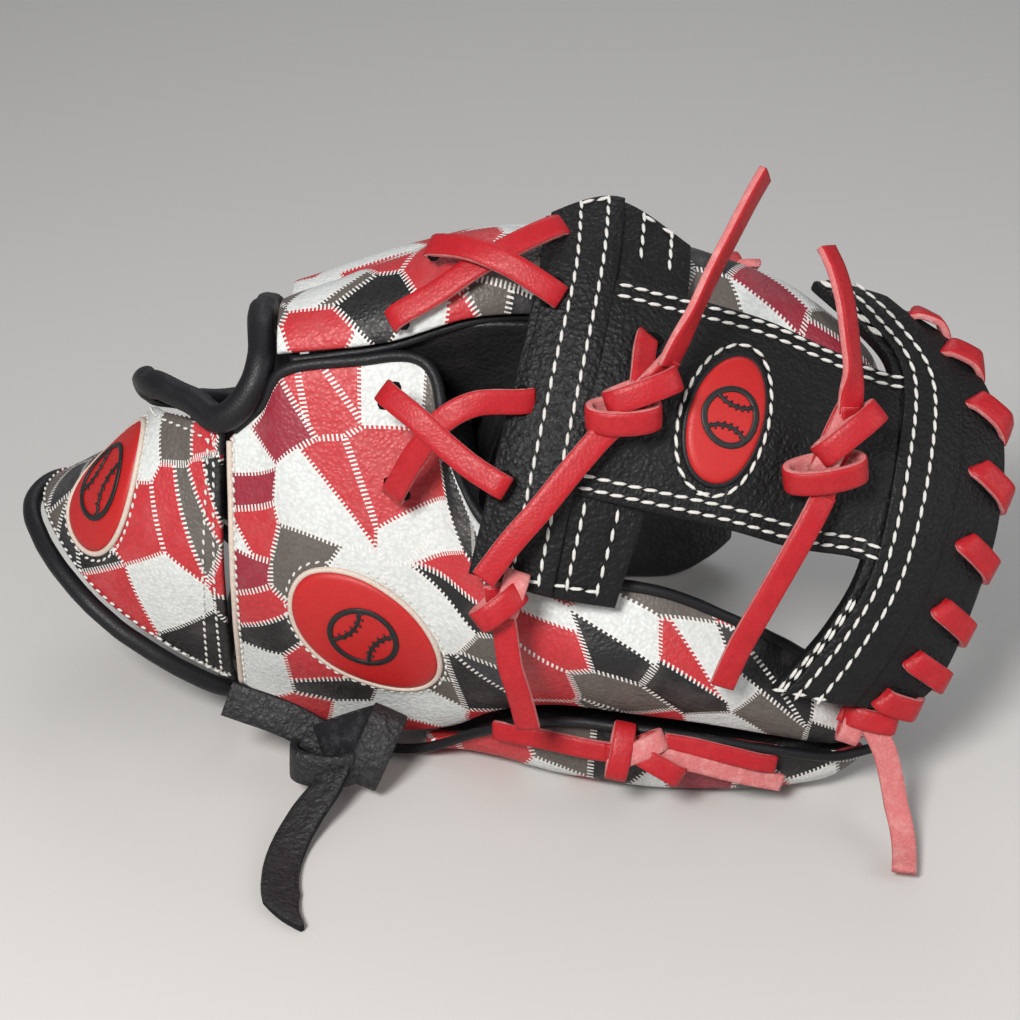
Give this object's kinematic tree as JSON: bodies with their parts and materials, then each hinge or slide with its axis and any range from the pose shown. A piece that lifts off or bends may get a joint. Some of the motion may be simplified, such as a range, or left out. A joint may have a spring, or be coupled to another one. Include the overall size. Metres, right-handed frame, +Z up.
{
  "type": "baseball glove",
  "caption": "Youth fielding glove with stalls for five fingers, a laced single-post web, an open back and a wrist strap, resting palm down.",
  "frame": {"origin": "centre of the underside of the resting glove, on the surface it lies on", "axes": "+X along the fingers, from the wrist to the web; -Y is the side the thumb and the web face; +Z up"},
  "size_m": [0.254, 0.1848, 0.1625],
  "materials": {
    "patchwork_leather": "satin, printed patchwork with pebble grain",
    "black_leather": "matt, grained",
    "red_lace": "smooth, semi-gloss",
    "black_lace": "matt",
    "red_patch": "smooth, semi-gloss",
    "lining_leather": "smooth, matt",
    "felt": "matt",
    "stiffener_board": "matt"
  },
  "bodies": {
    "hand_shell": {"wrist_strap": "patchwork_leather", "strap_lining": "lining_leather", "strap_patch": "red_patch", "back_opening_roll": "black_leather", "wrist_binding": "black_leather", "palm_leather": "black_leather", "palm_pad": "felt", "heel_pad": "felt", "hand_lining": "lining_leather", "index_back": "patchwork_leather", "index_front": "black_leather", "index_welts": "black_leather", "middle_back": "patchwork_leather", "middle_front": "black_leather", "middle_welts": "black_leather", "ring_back": "patchwork_leather", "ring_front": "black_leather", "ring_welts": "black_leather", "finger_lace": "red_lace"},
    "thumb": {"thumb_back": "patchwork_leather", "thumb_front": "patchwork_leather", "thumb_welt": "black_leather", "thumb_patch": "red_patch", "thumb_stiffener": "stiffener_board", "thumb_lace": "red_lace", "thumb_tip_knot": "red_lace", "thumb_tip_tail": "red_lace", "heel_tie_knot": "black_lace", "heel_tie_tail": "black_lace", "base_knot": "red_lace"},
    "web": {"web_base_bar": "black_leather", "web_center_post": "black_leather", "web_top_bar": "black_leather", "web_patch": "red_patch", "web_edge_lace": "red_lace", "crotch_lace_upper": "red_lace", "crotch_lace_lower": "red_lace", "post_knot": "red_lace", "post_tail_up": "red_lace", "post_tail_down": "red_lace", "top_bar_knot": "red_lace", "top_bar_tail_up": "red_lace", "top_bar_tail_down": "red_lace"},
    "little_finger": {"little_back": "patchwork_leather", "little_front": "black_leather", "little_welt": "black_leather", "little_stiffener": "stiffener_board"}
  },
  "joints": [
    {"name": "thumb_fold", "type": "hinge", "parent": "hand_shell", "child": "thumb", "pos_m": [0.004, -0.02833, 0.11105], "axis": [1, 0, 0], "range_deg": [-8, 10]},
    {"name": "web_fold", "type": "hinge", "parent": "thumb", "child": "web", "pos_m": [0.004, -0.05583, 0.06105], "axis": [1, 0, 0], "range_deg": [-3, 3]},
    {"name": "little_finger_fold", "type": "hinge", "parent": "hand_shell", "child": "little_finger", "pos_m": [-0.016, 0.06367, 0.07255], "axis": [0.9722, 0.1704, -0.1604], "range_deg": [-10, 10]}
  ],
  "couplings": [
    {"joint": "web_fold", "follows": "thumb_fold", "ratio": -0.2308}
  ]
}
